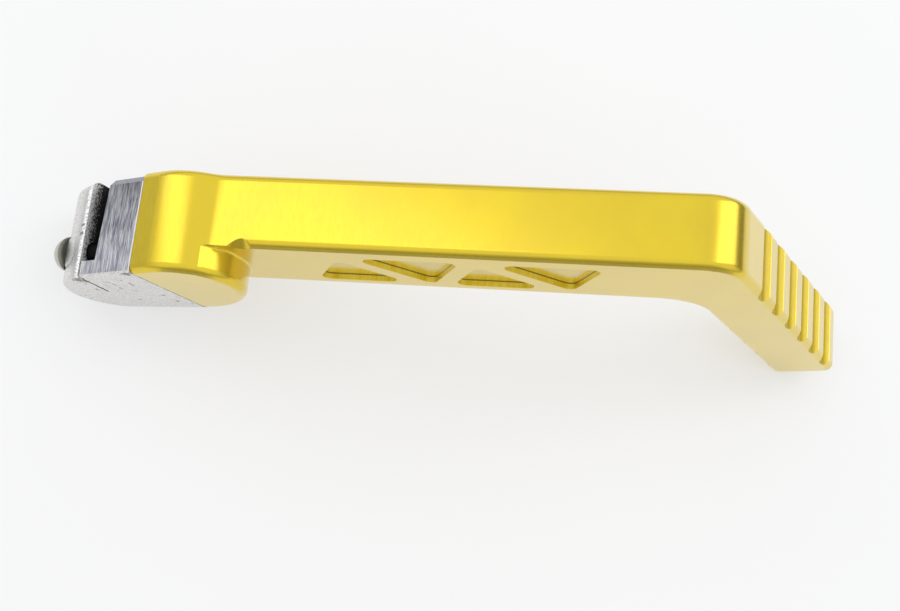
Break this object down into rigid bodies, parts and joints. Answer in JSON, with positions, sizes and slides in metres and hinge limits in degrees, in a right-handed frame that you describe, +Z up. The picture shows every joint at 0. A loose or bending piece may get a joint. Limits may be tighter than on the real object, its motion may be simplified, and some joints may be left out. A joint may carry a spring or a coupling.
{
  "type": "kick start lever",
  "caption": "Folding kick start lever: a flat aluminium arm with a grooved foot peg, hinged to a cast knuckle with a splined clamp bore.",
  "frame": {"origin": "on the axis of the splined bore, where the splines start just inside the bore's mouth", "axes": "+X from the bore towards the arm's far end, +Y along the bore and out of its mouth, +Z up as the lever lies on a table"},
  "size_m": [0.2112, 0.0261, 0.0803],
  "materials": {
    "anodised": "satin anodised",
    "cast": "bead blasted, ground on top",
    "ground_steel": "ground",
    "spring_steel": "drawn wire",
    "plated": "polished plating"
  },
  "bodies": {
    "knuckle_body": {"knuckle": "cast", "pivot_pin": "ground_steel", "pinch_screw": "plated"},
    "arm_body": {"arm": "anodised", "keeper_pin": "ground_steel", "detent_ball": "ground_steel", "detent_spring": "spring_steel"}
  },
  "joints": [
    {"name": "fold", "type": "hinge", "parent": "knuckle_body", "child": "arm_body", "pos_m": [0.01398, -0.01145, 0.01108], "axis": [-0.7765, 0, -0.6302], "range_deg": [0, 90]}
  ]
}
